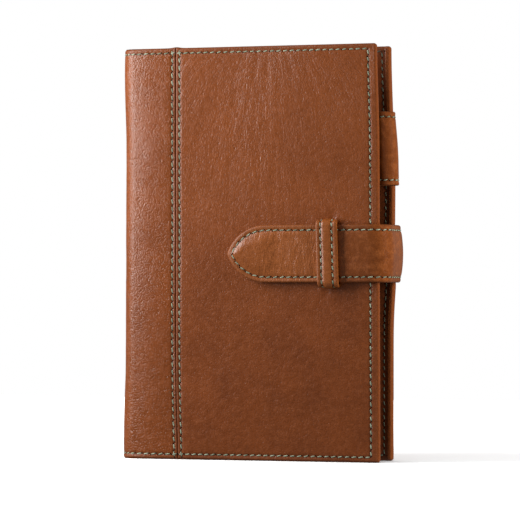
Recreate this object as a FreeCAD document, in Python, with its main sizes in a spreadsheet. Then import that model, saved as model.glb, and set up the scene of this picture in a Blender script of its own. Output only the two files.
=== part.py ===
"""Leather notebook cover with a belt strap, a sewn keeper and a pen loop, standing closed.

Frame: +X runs from the spine to the fore-edge, -Y is the front cover's outside, +Z is up the cover.
The origin is under the middle of the whole closed cover, on the surface that it stands on.
Sizes are millimetres.
"""
import FreeCAD, Part
import math
import os

import Sketcher

# ---- driving dimensions --------------------------------------------------------------------------

DIMENSIONS = {
    "cover_height": 195.0,
    "cover_width": 128.0,      # outside of the spine to the fore-edge
    "cover_depth": 23.0,       # outside of the front to outside of the back, closed
    "fold_radius": 7.0,        # outer radius of the spine's two long folds
    "skin": 1.1,               # outer leather
    "board": 0.6,              # stiffener between the outer leather and its turned-in hem
    "turn": 0.6,               # hem, skived thin where it is turned in
    "lining": 0.5,
    "sleeve": 1.0,             # inner sleeve, with the slot that takes a notebook's own cover
    "sleeve_slot": 0.4,
    "sleeve_border": 4.0,      # glued and sewn margin of a sleeve
    "sleeve_width": 64.0,
    "hem_width": 8.0,
    "layer_inset": 1.5,        # linings and sleeves stop this far inside the cover's edge
    "seam_place": 27.9,        # spine leather ends and panel leather starts, from the spine's outside
    "seam_gap": 0.3,
    "seam_rows": 3.7,          # distance between the two rows of stitches beside a seam
    "stitch_inset": 2.5,       # rows of stitches from the edge beside them
    "fore_inset": 4.0,         # the row along the fore-edge
    "thread_width": 0.5,
    "thread_rise": 0.2,
    "strap_width": 27.0,
    "strap_middle": 97.2,      # height of the strap's centre line
    "strap_tip": 54.6,         # tip of the tongue, from the spine's outside
    "strap_point": 19.0,       # length of the tongue's rounded point
    "tongue_end": 80.0,        # the padded tongue ends and the plain strap starts
    "strap_skin": 1.2,
    "strap_core": 0.5,
    "strap_lining": 0.8,
    "strap_gap": 0.35,
    "bow_reach": 5.8,          # how far the strap stands out past the fore-edge
    "bow_gap": 0.3,
    "web_length": 50.0,        # free stretch of the strap behind the back cover
    "base_length": 30.0,       # stretch of the strap that is sewn to the back cover
    "base_gap": 0.5,           # between the web and the base
    "keeper_place": 104.3,     # middle of the keeper, from the spine's outside
    "keeper_width": 10.5,
    "keeper_skin": 1.1,
    "keeper_lining": 0.9,
    "keeper_gap": 0.25,
    "keeper_side_gap": 0.4,
    "loop_bore": 4.5,          # radius of the pen's room
    "loop_lining": 0.5,
    "loop_skin": 0.9,
    "loop_bottom": 129.0,
    "loop_height": 34.5,
    "loop_reach": 7.2,         # ring centre from its hinge line
    "loop_offset": -0.3,
    "loop_hinge_gap": 0.3,     # hinge line past the fore-edge
    "loop_hinge_drop": 0.5,    # hinge line in front of the back sleeve
    "tab_start": 113.0,
    "tab_end": 124.5,
    "tab": 1.4,                # thickness of the tab that holds the pen loop
}

FRONT, BACK = -1, 1
OVERCUT = 1.0       # a cut runs this far past an open edge
ON_AXIS = 1e-9      # a place nearer an axis than this lies on it
SAME_PLACE = 1e-6   # two points nearer each other than this are one

doc = FreeCAD.newDocument("notebook_cover")


def make_sheet():
    sheet = doc.addObject("Spreadsheet::Sheet", "dim")
    for row, (alias, value) in enumerate(DIMENSIONS.items(), start=1):
        sheet.set(f"A{row}", alias)
        sheet.set(f"B{row}", str(value))
        sheet.setAlias(f"B{row}", alias)
    doc.recompute()
    return sheet


dim = make_sheet()


def number(expression):
    """The value of an expression over the sheet's cells."""
    value = dim.evalExpression(str(expression))
    return float(getattr(value, "Value", value))


# ---- places, as expressions over the sheet -------------------------------------------------------

SPINE_X = "-(dim.cover_width + dim.bow_reach - dim.thread_rise) / 2"
MIDDLE_Y = "(dim.keeper_gap + dim.keeper_skin + dim.keeper_lining) / 2"
HEM_DEPTH = "(dim.skin + dim.board + dim.turn)"
LINED_DEPTH = f"({HEM_DEPTH} + dim.lining)"
FULL_DEPTH = f"({LINED_DEPTH} + dim.sleeve)"
STRAP_THICK = "(dim.strap_skin + dim.strap_core + dim.strap_lining)"
STRAP_LOW = "(dim.strap_middle - dim.strap_width / 2)"
STRAP_HIGH = "(dim.strap_middle + dim.strap_width / 2)"
BOW_START = "(dim.cover_width + dim.bow_gap)"
BOW_INNER = f"(dim.bow_reach - dim.bow_gap - {STRAP_THICK})"    # inside radius of the bow's two bends
STRAP_HALF = "(dim.strap_width / 2)"
POINT_RADIUS = f"((dim.strap_point ^ 2 + {STRAP_HALF} ^ 2) / dim.strap_width)"    # tangent to the edge
WEB_START = "(dim.cover_width - dim.web_length)"
BASE_END = f"({WEB_START} - dim.base_gap)"
LOOP_X = "(dim.cover_width + dim.loop_hinge_gap + dim.loop_offset)"
LOOP_Y = f"({MIDDLE_Y} + dim.cover_depth / 2 - {FULL_DEPTH} - dim.loop_hinge_drop - dim.loop_reach)"


def along(distance):
    """X of a distance from the spine's outside."""
    return f"{SPINE_X} + ({distance})"


def layer(side, depth):
    """Y of a depth below the outside of the front (side -1) or the back (side 1)."""
    return f"{MIDDLE_Y} + ({side}) * (dim.cover_depth / 2 - ({depth}))"


# ---- sketches and solids -------------------------------------------------------------------------


def new_body(label):
    body = doc.addObject("PartDesign::Body", label)
    body.Label = label
    return body


def new_sketch(body, role, offset="0"):
    """A sketch on one of the body's origin planes, moved along the plane's normal."""
    sketch = body.newObject("Sketcher::SketchObject", f"{body.Name}_sketch")
    plane = next(f for f in body.Origin.OriginFeatures if f.Role == role)
    sketch.AttachmentSupport = [(plane, "")]
    sketch.MapMode = "FlatFace"
    sketch.setExpression("AttachmentOffset.Base.z", offset)
    return sketch


def arc_between(start, end, radius, turn):
    """Minor arc from start to end; turn is 1 where it bends to the left, -1 to the right."""
    chord = end - start
    middle = (start + end) * 0.5
    left = FreeCAD.Vector(-chord.y, chord.x, 0).normalize()
    reach = math.sqrt(max(radius * radius - chord.Length * chord.Length / 4, 0.0))
    centre = middle + left * (turn * reach)
    if reach > SAME_PLACE:
        crown = centre + (middle - centre).normalize() * radius
    else:
        crown = middle - left * (turn * radius)
    return Part.Arc(start, crown, end)


def pin_point(sketch, geometry, end, place):
    """Binds one end of an edge to a pair of expressions."""
    for kind, axis, expression in (("DistanceX", -2, place[0]), ("DistanceY", -1, place[1])):
        value = number(expression)
        if abs(value) < ON_AXIS:
            sketch.addConstraint(Sketcher.Constraint("PointOnObject", geometry, end, axis))
        else:
            index = sketch.addConstraint(Sketcher.Constraint(kind, -1, 1, geometry, end, value))
            sketch.setExpression(f"Constraints[{index}]", expression)


def draw_loop(sketch, points):
    """Draws a closed outline. A point is (x, y), or (x, y, radius, turn) where an arc comes after it."""
    places = [FreeCAD.Vector(number(p[0]), number(p[1]), 0) for p in points]
    edges = []
    for i, point in enumerate(points):
        start, end = places[i], places[(i + 1) % len(points)]
        if len(point) == 2:
            edge = Part.LineSegment(start, end)
        else:
            edge = arc_between(start, end, number(point[2]), point[3])
        index = sketch.addGeometry(edge, False)
        first = 1 if sketch.getPoint(index, 1).distanceToPoint(start) < SAME_PLACE else 2
        edges.append((index, first, 3 - first))
    for i, point in enumerate(points):
        index, first, last = edges[i]
        after, after_first, _ = edges[(i + 1) % len(points)]
        sketch.addConstraint(Sketcher.Constraint("Coincident", index, last, after, after_first))
        pin_point(sketch, index, first, point)
        if len(point) > 2:
            radius = sketch.addConstraint(Sketcher.Constraint("Radius", index, number(point[2])))
            sketch.setExpression(f"Constraints[{radius}]", point[2])


def draw_circle(sketch, x, y, radius):
    centre = FreeCAD.Vector(number(x), number(y), 0)
    index = sketch.addGeometry(Part.Circle(centre, FreeCAD.Vector(0, 0, 1), number(radius)), False)
    pin_point(sketch, index, 3, (x, y))
    bound = sketch.addConstraint(Sketcher.Constraint("Radius", index, number(radius)))
    sketch.setExpression(f"Constraints[{bound}]", radius)


def rectangle(x0, x1, y0, y1):
    return [(x0, y0), (x1, y0), (x1, y1), (x0, y1)]


def sweep(body, kind, sketch, length, reverse=False):
    """A Pad or a Pocket of a sketch, with its length bound to the sheet."""
    feature = body.newObject(f"PartDesign::{kind}", f"{body.Name}_{kind.lower()}")
    feature.Profile = sketch
    feature.setExpression("Length", length)
    feature.Reversed = reverse
    doc.recompute()
    return feature


def upright(label, outlines, low, height):
    """A body whose outlines in plan run up the cover from low by height."""
    body = new_body(label)
    sketch = new_sketch(body, "XY_Plane", low)
    for outline in outlines:
        draw_loop(sketch, outline)
    sweep(body, "Pad", sketch, height)
    return body


def plate(label, x0, x1, y0, y1, z0, z1):
    """A flat rectangular piece between two X, two Y and two Z places."""
    return upright(label, [rectangle(x0, x1, y0, y1)], z0, f"({z1}) - ({z0})")


def thread(label, side, depth, outlines):
    """Rows of thread seen from the front, raised off the surface at that depth under the front or back."""
    body = new_body(label)
    raised = f"dim.cover_depth / 2 - ({depth})"
    sketch = new_sketch(body, "XZ_Plane", f"-({MIDDLE_Y} + ({side}) * ({raised}))")
    for outline in outlines:
        draw_loop(sketch, outline)
    return body, sketch


def row(x0, z0, x1, z1):
    """A straight row of thread, level or upright, as a rectangle about its middle line."""
    half = "dim.thread_width / 2"
    if x0 == x1:
        return rectangle(f"{x0} - {half}", f"{x0} + {half}", z0, z1)
    return rectangle(x0, x1, f"{z0} - {half}", f"{z0} + {half}")


# ---- cover leather -------------------------------------------------------------------------------


def panel(name, side):
    """Smooth outer leather of one cover, turned in over the board at the top, bottom and fore-edge."""
    start = along("dim.seam_place + dim.seam_gap / 2")
    edge = along("dim.cover_width")
    inside = along("dim.cover_width - dim.skin")
    hem = along("dim.cover_width - dim.hem_width")
    outer, under = layer(side, "0"), layer(side, "dim.skin")
    over_board, top = layer(side, "dim.skin + dim.board"), layer(side, HEM_DEPTH)
    body = upright(name, [[
        (start, outer), (edge, outer), (edge, top), (hem, top),
        (hem, over_board), (inside, over_board), (inside, under), (start, under),
    ]], "0", "dim.cover_height")
    for ends in (("0", "dim.skin", "dim.hem_width"),
                 ("dim.cover_height", "dim.cover_height - dim.skin", "dim.cover_height - dim.hem_width")):
        sketch = new_sketch(body, "YZ_Plane", start)
        draw_loop(sketch, [
            (outer, ends[0]), (top, ends[0]), (top, ends[2]),
            (over_board, ends[2]), (over_board, ends[1]), (under, ends[1]), (outer, ends[1]),
        ])
        sweep(body, "Pad", sketch, f"({edge}) - ({start})")
    return body


def keeper_legs():
    """Plan of the two places where the keeper's legs pass into the front panel, as X and Z pairs."""
    half = "dim.keeper_width / 2"
    inner = "(dim.strap_width / 2 + dim.keeper_side_gap)"
    outer = f"({inner} + dim.keeper_skin + dim.keeper_lining)"
    x0, x1 = along(f"dim.keeper_place - {half}"), along(f"dim.keeper_place + {half}")
    return [
        rectangle(x0, x1, f"dim.strap_middle + {inner}", f"dim.strap_middle + {outer}"),
        rectangle(x0, x1, f"dim.strap_middle - {outer}", f"dim.strap_middle - {inner}"),
    ]


def cut_keeper_slits(body):
    """Slits in the front panel that the keeper's legs go into."""
    before = body.Shape.Volume
    sketch = new_sketch(body, "XZ_Plane", f"-({layer(FRONT, '0')})")
    for outline in keeper_legs():
        draw_loop(sketch, outline)
    sweep(body, "Pocket", sketch, "dim.skin")
    if body.Shape.Volume >= before:
        raise RuntimeError("the keeper slits cut nothing")


def cover(name, side):
    """The layers of one cover, from the outside in."""
    fold, seam = along("dim.fold_radius"), along("dim.seam_place - dim.seam_gap / 2")
    board_end = along("dim.cover_width - dim.skin - dim.seam_gap")
    lining_end = along("dim.cover_width - dim.layer_inset")
    sleeve_start = along("dim.cover_width - dim.layer_inset - dim.sleeve_width")
    top = "dim.cover_height"
    inset, inset_top = "dim.layer_inset", "dim.cover_height - dim.layer_inset"
    board_low = "dim.skin + dim.seam_gap"
    board = along("dim.fold_radius + dim.seam_gap")
    face = panel(f"{name}_panel", side)
    if side == FRONT:
        cut_keeper_slits(face)
    plate(f"{name}_spine_strip", fold, seam, layer(side, "0"), layer(side, "dim.skin"), "0", top)
    plate(f"{name}_board", board, board_end, layer(side, "dim.skin"), layer(side, "dim.skin + dim.board"),
          board_low, f"dim.cover_height - ({board_low})")
    plate(f"{name}_lining", fold, lining_end, layer(side, HEM_DEPTH), layer(side, LINED_DEPTH),
          inset, inset_top)
    sleeve(f"{name}_sleeve", side, sleeve_start, lining_end, inset, inset_top)


def sleeve(name, side, start, end, low, high):
    """Inner sleeve: a flap sewn down at the top, bottom and fore-edge, open towards the spine."""
    body = plate(name, start, end, layer(side, LINED_DEPTH), layer(side, FULL_DEPTH), low, high)
    before = body.Shape.Volume
    border = "dim.sleeve_border"
    slot = rectangle(f"{start} - {OVERCUT}", f"{end} - {border}", f"{low} + {border}", f"{high} - {border}")
    sketch = new_sketch(body, "XZ_Plane", f"-({layer(side, LINED_DEPTH)})")
    draw_loop(sketch, slot)
    sweep(body, "Pocket", sketch, "dim.sleeve_slot", reverse=side == BACK)
    if body.Shape.Volume >= before:
        raise RuntimeError(f"the slot of {name} cuts nothing")


def fold_arc(name, side, outer, inner):
    """A quarter tube of leather up one of the spine's long folds."""
    tubes = []
    for part, radius in (("outside", outer), ("inside", inner)):
        tube = doc.addObject("Part::Cylinder", f"{name}_{part}")
        tube.setExpression("Radius", radius)
        tube.setExpression("Height", "dim.cover_height")
        tube.setExpression("Placement.Base.x", along("dim.fold_radius"))
        tube.setExpression("Placement.Base.y", layer(side, "dim.fold_radius"))
        tube.Angle = 90
        tube.Placement.Rotation = FreeCAD.Rotation(FreeCAD.Vector(0, 0, 1), 180 if side == FRONT else 90)
        tubes.append(tube)
    cut = doc.addObject("Part::Cut", name)
    cut.Label = name
    cut.Base, cut.Tool = tubes
    return cut


def spine():
    """Flat back of the spine and the two folds that join it to the covers."""
    low, high = layer(FRONT, "dim.fold_radius"), layer(BACK, "dim.fold_radius")
    top = "dim.cover_height"
    plate("spine_panel", along("0"), along("dim.skin"), low, high, "0", top)
    plate("spine_lining", along(HEM_DEPTH), along(LINED_DEPTH), low, high, "dim.layer_inset",
          "dim.cover_height - dim.layer_inset")
    for name, side in (("front", FRONT), ("back", BACK)):
        fold_arc(f"{name}_fold", side, "dim.fold_radius", "dim.fold_radius - dim.skin")
        fold_arc(f"{name}_fold_lining", side,
                 f"dim.fold_radius - {HEM_DEPTH}", f"dim.fold_radius - {LINED_DEPTH}")
    body = new_body("spine_stitching")
    sketch = new_sketch(body, "YZ_Plane", along("0"))
    half = "dim.thread_width / 2"
    for z in ("dim.stitch_inset", "dim.cover_height - dim.stitch_inset"):
        draw_loop(sketch, rectangle(low, high, f"{z} - {half}", f"{z} + {half}"))
    sweep(body, "Pad", sketch, "dim.thread_rise", reverse=True)


# ---- thread on the covers ------------------------------------------------------------------------


def bracket(start):
    """A row along the top, fore-edge and bottom, as one outline open towards the spine."""
    half = "dim.thread_width / 2"
    far, near = f"dim.cover_width - dim.fore_inset + {half}", f"dim.cover_width - dim.fore_inset - {half}"
    low, lower = f"dim.stitch_inset - {half}", f"dim.stitch_inset + {half}"
    high, higher = f"dim.cover_height - ({lower})", f"dim.cover_height - ({low})"
    return [
        (along(start), low), (along(far), low), (along(far), higher), (along(start), higher),
        (along(start), high), (along(near), high), (along(near), lower), (along(start), lower),
    ]


def cover_stitching(name, side):
    """Edge rows outside and inside one cover, and the two rows beside its seam."""
    body, sketch = thread(f"{name}_edge_stitching", side, "0", [bracket("dim.fold_radius")])
    sweep(body, "Pad", sketch, "dim.thread_rise", reverse=side == BACK)
    sleeve_start = "dim.cover_width - dim.layer_inset - dim.sleeve_width"
    body, sketch = thread(f"{name}_inner_stitching", side, FULL_DEPTH, [bracket(sleeve_start)])
    sweep(body, "Pad", sketch, "dim.thread_rise", reverse=side == FRONT)
    low = "dim.stitch_inset + dim.thread_width"
    rows = []
    for sign in ("-", "+"):
        place = along(f"dim.seam_place {sign} dim.seam_rows / 2")
        rows.append(row(place, low, place, f"dim.cover_height - ({low})"))
    body, sketch = thread(f"{name}_seam_stitching", side, "0", rows)
    sweep(body, "Pad", sketch, "dim.thread_rise", reverse=side == BACK)


# ---- strap ---------------------------------------------------------------------------------------


def strap_out(side, rise):
    """Y of a height above the strap's inner face, outside the front or the back cover."""
    return layer(side, f"-dim.strap_gap - ({rise})")


def point_place(inset):
    """X of the tongue's tip when the whole outline is moved in by inset."""
    radius = f"({POINT_RADIUS} - ({inset}))"
    reach = f"sqrt({radius} ^ 2 - ({POINT_RADIUS} - {STRAP_HALF}) ^ 2)"
    return along(f"dim.strap_tip + dim.strap_point - {reach}")


def point_outline(inset):
    """The tongue's upper edge, tip and lower edge, moved in by inset. Both arcs are tangent to the edges."""
    end, shoulder = along("dim.tongue_end"), along("dim.strap_tip + dim.strap_point")
    low, high = f"{STRAP_LOW} + {inset}", f"{STRAP_HIGH} - ({inset})"
    radius = f"{POINT_RADIUS} - ({inset})"
    return [(end, high), (shoulder, high, radius, 1), (point_place(inset), "dim.strap_middle", radius, 1),
            (shoulder, low), (end, low)]


def tongue_layer(name, inner, outer, inset):
    body = new_body(name)
    sketch = new_sketch(body, "XZ_Plane", f"-({strap_out(FRONT, inner)})")
    draw_loop(sketch, point_outline(inset))
    sweep(body, "Pad", sketch, f"{outer} - ({inner})")


def tongue_stitching():
    """One row that follows the tongue's outline."""
    half = "dim.thread_width / 2"
    outside = point_outline(f"(dim.stitch_inset - {half})")
    inset = f"(dim.stitch_inset + {half})"
    radius = f"{POINT_RADIUS} - {inset}"
    end, shoulder = along("dim.tongue_end"), along("dim.strap_tip + dim.strap_point")
    inside = [(end, f"{STRAP_LOW} + {inset}"), (shoulder, f"{STRAP_LOW} + {inset}", radius, -1),
              (point_place(inset), "dim.strap_middle", radius, -1),
              (shoulder, f"{STRAP_HIGH} - {inset}"), (end, f"{STRAP_HIGH} - {inset}")]
    body, sketch = thread("tongue_stitching", FRONT, f"-dim.strap_gap - {STRAP_THICK}", [outside + inside])
    sweep(body, "Pad", sketch, "dim.thread_rise")


def bend_layer(name, side, inner, outer):
    """A quarter tube: the strap's bend at the front or the back edge of the bow."""
    start, narrow, wide = along(BOW_START), f"{BOW_INNER} + {inner}", f"{BOW_INNER} + {outer}"
    centre = strap_out(side, f"-{BOW_INNER}")
    upright(name, [[
        (start, strap_out(side, outer), wide, -side),
        (along(f"{BOW_START} + {wide}"), centre),
        (along(f"{BOW_START} + {narrow}"), centre, narrow, side),
        (start, strap_out(side, inner)),
    ]], STRAP_LOW, "dim.strap_width")


def flat_layer(name, side, x0, x1, inner, outer):
    plate(name, x0, x1, strap_out(side, inner), strap_out(side, outer), STRAP_LOW, STRAP_HIGH)


def edge_rows(name, side, x0, x1):
    """Two rows along a straight stretch of the strap, near its edges."""
    rows = [row(x0, z, x1, z)
            for z in (f"{STRAP_LOW} + dim.stitch_inset", f"{STRAP_HIGH} - dim.stitch_inset")]
    body, sketch = thread(name, side, f"-dim.strap_gap - {STRAP_THICK}", rows)
    sweep(body, "Pad", sketch, "dim.thread_rise", reverse=side == BACK)


def strap():
    """Tongue, front stretch, bow and web, as they follow each other, and the base sewn to the back."""
    lining, core = "dim.strap_lining", "(dim.strap_lining + dim.strap_core)"
    tongue_layer("tongue_skin", core, STRAP_THICK, "0")
    tongue_layer("tongue_core", lining, core, "dim.stitch_inset")
    tongue_layer("tongue_lining", "0", lining, "0")
    tongue_stitching()
    edge_rows("strap_stitching", FRONT, along("dim.tongue_end"), along(BOW_START))
    back, front = strap_out(BACK, f"-{BOW_INNER}"), strap_out(FRONT, f"-{BOW_INNER}")
    for part, inner, outer in (("lining", "0", lining), ("skin", lining, STRAP_THICK)):
        flat_layer(f"strap_{part}", FRONT, along("dim.tongue_end"), along(BOW_START), inner, outer)
        bend_layer(f"front_bend_{part}", FRONT, inner, outer)
        bow = f"{BOW_START} + {BOW_INNER}"
        plate(f"bow_{part}", along(f"{bow} + {inner}"), along(f"{bow} + {outer}"), front, back,
              STRAP_LOW, STRAP_HIGH)
        bend_layer(f"back_bend_{part}", BACK, inner, outer)
        flat_layer(f"web_{part}", BACK, along(WEB_START), along(BOW_START), inner, outer)
        under = "-dim.strap_gap" if part == "lining" else inner
        flat_layer(f"base_{part}", BACK, along(f"{BASE_END} - dim.base_length"), along(BASE_END),
                   under, outer)
    edge_rows("base_stitching", BACK, along(f"{BASE_END} - dim.base_length"), along(BASE_END))


# ---- keeper --------------------------------------------------------------------------------------


def keeper_layer(name, inner, outer):
    """One layer of the keeper: over the strap, down both its sides and into the front panel's slits."""
    body = new_body(name)
    sketch = new_sketch(body, "YZ_Plane", along("dim.keeper_place - dim.keeper_width / 2"))
    foot = layer(FRONT, "dim.skin")
    side = "(dim.strap_width / 2 + dim.keeper_side_gap)"
    top = strap_out(FRONT, f"{STRAP_THICK} + dim.keeper_gap + {outer}")
    under = strap_out(FRONT, f"{STRAP_THICK} + dim.keeper_gap + {inner}")
    wide, narrow = f"({side} + {outer})", f"({side} + {inner})"
    middle = "dim.strap_middle"
    draw_loop(sketch, [
        (foot, f"{middle} - {wide}"), (top, f"{middle} - {wide}"), (top, f"{middle} + {wide}"),
        (foot, f"{middle} + {wide}"), (foot, f"{middle} + {narrow}"), (under, f"{middle} + {narrow}"),
        (under, f"{middle} - {narrow}"), (foot, f"{middle} - {narrow}"),
    ])
    sweep(body, "Pad", sketch, "dim.keeper_width")


def keeper():
    thick = "(dim.keeper_skin + dim.keeper_lining)"
    keeper_layer("keeper_lining", "0", "dim.keeper_lining")
    keeper_layer("keeper_skin", "dim.keeper_lining", thick)
    rows = []
    reach = f"({STRAP_HALF} + dim.keeper_side_gap)"
    for sign in ("-", "+"):
        place = along(f"dim.keeper_place {sign} (dim.keeper_width / 2 - dim.stitch_inset)")
        rows.append(row(place, f"dim.strap_middle - {reach}", place, f"dim.strap_middle + {reach}"))
    depth = f"-dim.strap_gap - {STRAP_THICK} - dim.keeper_gap - {thick}"
    body, sketch = thread("keeper_stitching", FRONT, depth, rows)
    sweep(body, "Pad", sketch, "dim.thread_rise")


# ---- pen loop ------------------------------------------------------------------------------------


def ring(name, outer, inner, low, height):
    body = new_body(name)
    sketch = new_sketch(body, "XY_Plane", low)
    for radius in (outer, inner):
        draw_circle(sketch, along(LOOP_X), LOOP_Y, radius)
    sweep(body, "Pad", sketch, height)
    return body


def pen_loop():
    """A tube of two leathers that holds a pen at the fore-edge, and the tab sewn to the back sleeve."""
    lined = "dim.loop_bore + dim.loop_lining"
    outside = f"{lined} + dim.loop_skin"
    ring("pen_loop_lining", lined, "dim.loop_bore", "dim.loop_bottom", "dim.loop_height")
    ring("pen_loop_skin", outside, lined, "dim.loop_bottom", "dim.loop_height")
    half = "dim.thread_width / 2"
    low = f"dim.loop_bottom + dim.stitch_inset - {half}"
    body = ring("pen_loop_stitching", f"{outside} + dim.thread_rise", outside, low, "dim.thread_width")
    high = f"dim.loop_bottom + dim.loop_height - dim.stitch_inset - {half}"
    sketch = new_sketch(body, "XY_Plane", high)
    for radius in (f"{outside} + dim.thread_rise", outside):
        draw_circle(sketch, along(LOOP_X), LOOP_Y, radius)
    body.AllowCompound = True
    sweep(body, "Pad", sketch, "dim.thread_width")
    plate("pen_loop_tab", along("dim.tab_start"), along("dim.tab_end"),
          layer(BACK, f"{FULL_DEPTH} + dim.thread_rise + dim.tab"),
          layer(BACK, f"{FULL_DEPTH} + dim.thread_rise"),
          "dim.loop_bottom", "dim.loop_bottom + dim.loop_height")


# ---- building and checking -----------------------------------------------------------------------


def pieces():
    """The objects that are sub-parts: bodies, and booleans that nothing else uses."""
    return [o for o in doc.Objects
            if o.TypeId == "PartDesign::Body" or (o.TypeId == "Part::Cut" and not o.InList)]


def check(found):
    for o in doc.Objects:
        if any(word in o.State for word in ("Invalid", "Error")):
            raise RuntimeError(f"{o.Label} is in state {o.State}")
    for o in found:
        if o.Shape.isNull() or not o.Shape.isValid() or not o.Shape.Solids:
            raise RuntimeError(f"{o.Label} has no valid solid")


def main():
    for name, side in (("front", FRONT), ("back", BACK)):
        cover(name, side)
        cover_stitching(name, side)
    spine()
    strap()
    keeper()
    pen_loop()
    doc.recompute()
    found = pieces()
    check(found)
    os.makedirs("parts", exist_ok=True)
    for o in found:
        o.Shape.exportStep(os.path.join("parts", f"{o.Label}.step"))
    print(f"{len(found)} sub-parts written")


main()
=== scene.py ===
"""Looks of the leather notebook cover: leather with rolled edges, single stitches, and a soft studio.

Every piece is laid out flat first, in metres: u runs along the leather, v up or across it, and h outwards
from the cover's outer face or the strap's inner one. A path bends the flat piece into its place.
"""
import math

import bmesh
import bpy
import numpy as np
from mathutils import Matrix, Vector


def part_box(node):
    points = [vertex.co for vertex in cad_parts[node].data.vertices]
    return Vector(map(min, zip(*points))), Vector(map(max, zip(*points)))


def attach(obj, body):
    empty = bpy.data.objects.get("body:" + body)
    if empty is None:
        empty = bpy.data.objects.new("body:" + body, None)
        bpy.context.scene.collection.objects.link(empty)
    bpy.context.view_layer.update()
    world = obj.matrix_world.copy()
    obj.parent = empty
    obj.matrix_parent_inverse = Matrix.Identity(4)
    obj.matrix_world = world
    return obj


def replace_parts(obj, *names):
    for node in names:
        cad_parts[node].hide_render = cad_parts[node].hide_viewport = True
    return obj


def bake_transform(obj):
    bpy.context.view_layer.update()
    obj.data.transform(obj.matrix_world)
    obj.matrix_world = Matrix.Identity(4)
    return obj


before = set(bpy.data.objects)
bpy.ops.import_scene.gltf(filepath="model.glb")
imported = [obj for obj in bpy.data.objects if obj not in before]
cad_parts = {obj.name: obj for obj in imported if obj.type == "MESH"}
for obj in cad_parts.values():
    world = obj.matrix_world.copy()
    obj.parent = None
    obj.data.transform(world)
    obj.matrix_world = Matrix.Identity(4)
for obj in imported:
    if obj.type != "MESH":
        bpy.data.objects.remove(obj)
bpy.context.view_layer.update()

MM = 0.001

# ---- places, from the CAD frame ----


def low(node):
    return np.array(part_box(node)[0])


def high(node):
    return np.array(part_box(node)[1])


FRONT, BACK = -1, 1
NAMES = {FRONT: "front", BACK: "back"}
SPINE_X = low("spine_panel")[0]
FRONT_Y, BACK_Y = low("front_panel")[1], high("back_panel")[1]
MIDDLE_Y, HALF_DEPTH = (FRONT_Y + BACK_Y) / 2, (BACK_Y - FRONT_Y) / 2
EDGE_X, HEIGHT = high("front_panel")[0], high("front_panel")[2]
FOLD_RADIUS = high("front_fold")[0] - low("front_fold")[0]
SEAM_X = (high("front_spine_strip")[0] + low("front_panel")[0]) / 2
HEM = high("front_panel")[1] - low("front_panel")[1]
LINING = high("front_lining")[1] - low("front_lining")[1]
SLEEVE = high("front_sleeve")[1] - low("front_sleeve")[1]
LAYER_INSET = low("front_lining")[2]
CAD_THREAD = 0.25 * MM  # half the width of a row of stitches in the CAD model
STITCH_INSET = low("front_edge_stitching")[2] + CAD_THREAD
FORE_INSET = EDGE_X - high("front_edge_stitching")[0] + CAD_THREAD
SEAM_ROWS = high("front_seam_stitching")[0] - low("front_seam_stitching")[0] - 2 * CAD_THREAD

STRAP_Z = (low("tongue_skin")[2] + high("tongue_skin")[2]) / 2
STRAP_WIDTH = high("tongue_skin")[2] - low("tongue_skin")[2]
STRAP_IN = FRONT_Y - high("tongue_lining")[1]
STRAP_THICK = high("tongue_lining")[1] - low("tongue_skin")[1]
BACK_RADIUS, FRONT_RADIUS = 2.8 * MM, 7.5 * MM  # inside the bow's bends: the back one is close
BACK_X, FRONT_X = low("bow_lining")[0] - BACK_RADIUS, low("bow_lining")[0] - FRONT_RADIUS
BASE_X, WEB_X = low("base_skin")[0], low("web_skin")[0]
TONGUE_X, TIP_X = high("tongue_skin")[0], low("tongue_skin")[0]

FLAT_BACK = HALF_DEPTH - FOLD_RADIUS  # half of the spine's flat back
FOLD_LENGTH = FOLD_RADIUS * math.pi / 2
U_FOLD_END = FLAT_BACK + FOLD_LENGTH
U_SEAM = U_FOLD_END + SEAM_X - SPINE_X - FOLD_RADIUS
U_EDGE = U_FOLD_END + EDGE_X - SPINE_X - FOLD_RADIUS

PITCH, SEAM_PITCH = 3.3 * MM, 3.5 * MM
ROW_WIDTH = 0.75 * MM  # how far a row of stitches pulls the leather down beside it
FINE_STEP, STEP = 0.4 * MM, 0.95 * MM  # the grid beside rows of stitches, and elsewhere
RIM_LINES, ROW_LINES = 6, range(-4, 5)  # grid lines round a rim and beside a row
RIM_GAP, ROW_GAP = 0.02 * MM, 0.55 * FINE_STEP  # lines closer than this are left out
RIM_FADE = 2.5  # a rim's darker tone and lost relief reach this many radii in
SAME_POINT, SHARP = 0.002 * MM, math.radians(50)
STITCH_SLANT, SLANT_JITTER = 11.0, 2.5  # degrees
STITCH_SHARE, SHARE_JITTER = 0.77, 0.02  # how much of the pitch the thread covers
PLY_DEPTH, PLY_TWIST = 0.11, 5.5


# ---- smooth noise ----


def noise(u, v, cell, seed):
    """Smooth noise from -1 to 1 over a plane, with features about one cell wide."""
    size = 64
    table = np.random.default_rng(seed).uniform(-1, 1, (size, size))
    x, y = np.asarray(u) / cell, np.asarray(v) / cell
    i, j = np.floor(x).astype(int), np.floor(y).astype(int)
    a, b = x - i, y - j
    a, b = a * a * (3 - 2 * a), b * b * (3 - 2 * b)

    def at(di, dj):
        return table[(i + di) % size, (j + dj) % size]

    return (at(0, 0) * (1 - a) + at(1, 0) * a) * (1 - b) + (at(0, 1) * (1 - a) + at(1, 1) * a) * b


def smooth(t):
    t = np.clip(t, 0, 1)
    return t * t * (3 - 2 * t)


def hump(distance, width):
    """1 at no distance, falling off to 0 over about two widths."""
    return np.exp(-(np.asarray(distance) / width) ** 2)


# ---- rows of stitches, as lines on the flat piece ----


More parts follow.
